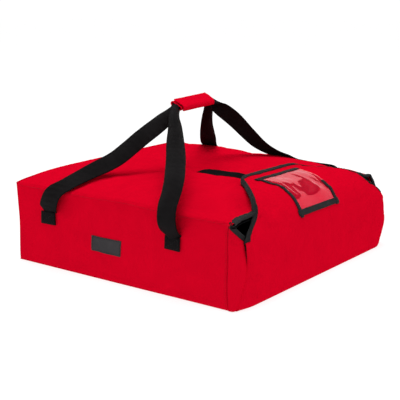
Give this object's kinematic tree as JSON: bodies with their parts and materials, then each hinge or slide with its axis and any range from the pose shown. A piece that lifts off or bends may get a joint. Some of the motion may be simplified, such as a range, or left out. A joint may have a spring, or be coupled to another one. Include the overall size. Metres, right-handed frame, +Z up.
{
  "type": "pizza delivery bag",
  "caption": "Soft-sided insulated delivery bag with a domed top, drop-down front, hook-and-loop flap with a ticket window, and webbing handles gathered in a wrapped grip.",
  "frame": {"origin": "centre of the bag's footprint, on the surface that it stands on", "axes": "+X across the bag's width, -Y out of the mouth, +Z up"},
  "size_m": [0.539, 0.495, 0.298],
  "materials": {
    "red_nylon": "coated nylon cloth with a fine weave and a low sheen",
    "white_foam": "closed-cell foam, matte",
    "black_lining": "coated nylon lining, low sheen",
    "black_tape": "woven bias tape, matte",
    "black_webbing": "heavy woven webbing with a herringbone weave, matte",
    "black_pile": "hook-and-loop pile, matte",
    "grey_label": "plain woven label, satin",
    "clear_vinyl": "clear soft vinyl, glossy"
  },
  "bodies": {
    "bag_body": {"bottom_shell": "red_nylon", "bottom_foam": "white_foam", "bottom_lining": "black_lining", "side_shell_left": "red_nylon", "side_shell_right": "red_nylon", "side_foam_left": "white_foam", "side_foam_right": "white_foam", "side_lining_left": "black_lining", "side_lining_right": "black_lining", "back_shell": "red_nylon", "back_foam": "white_foam", "back_lining": "black_lining", "top_shell": "red_nylon", "top_foam": "white_foam", "top_lining": "black_lining", "mouth_binding": "black_tape", "gusset_shell_left": "red_nylon", "gusset_shell_right": "red_nylon", "gusset_lining_left": "black_lining", "gusset_lining_right": "black_lining", "gusset_binding_left": "black_tape", "gusset_binding_right": "black_tape", "loop_strip": "black_pile", "side_label": "grey_label", "strap_patch_front_left": "black_webbing", "strap_patch_front_right": "black_webbing", "strap_patch_rear_left": "black_webbing", "strap_patch_rear_right": "black_webbing", "strap_front": "black_webbing", "strap_rear": "black_webbing"},
    "front_panel": {"front_shell": "red_nylon", "front_foam": "white_foam", "front_lining": "black_lining"},
    "flap": {"flap_shell": "red_nylon", "flap_foam": "white_foam", "flap_lining": "black_lining", "flap_binding": "black_tape", "hook_strip": "black_pile", "window_pane": "clear_vinyl", "window_binding_front": "black_tape", "window_binding_back": "black_tape", "window_binding_left": "black_tape", "window_binding_right": "black_tape"},
    "handle": {"grip_wrap": "red_nylon", "grip_loop_tape": "black_pile"},
    "grip_cover": {"grip_cover": "red_nylon", "grip_hook_tape": "black_pile"}
  },
  "joints": [
    {"name": "front_drop", "type": "hinge", "parent": "bag_body", "child": "front_panel", "pos_m": [0, -0.2464, 0.0013], "axis": [1, 0, 0], "range_deg": [0, 40], "deforming": ["gusset_shell_left", "gusset_shell_right", "gusset_lining_left", "gusset_lining_right", "gusset_binding_left", "gusset_binding_right"]},
    {"name": "flap_open", "type": "hinge", "parent": "front_panel", "child": "flap", "pos_m": [0, -0.2464, 0.10665], "axis": [1, 0, 0], "range_deg": [0, 140]},
    {"name": "handle_drop", "type": "slide", "parent": "bag_body", "child": "handle", "axis": [0, 0, -1], "range_m": [0, 0.085], "deforming": ["strap_front", "strap_rear"]},
    {"name": "grip_open", "type": "hinge", "parent": "handle", "child": "grip_cover", "pos_m": [0, 0.04728, 0.2958], "axis": [-1, 0, 0], "range_deg": [0, 150]}
  ]
}
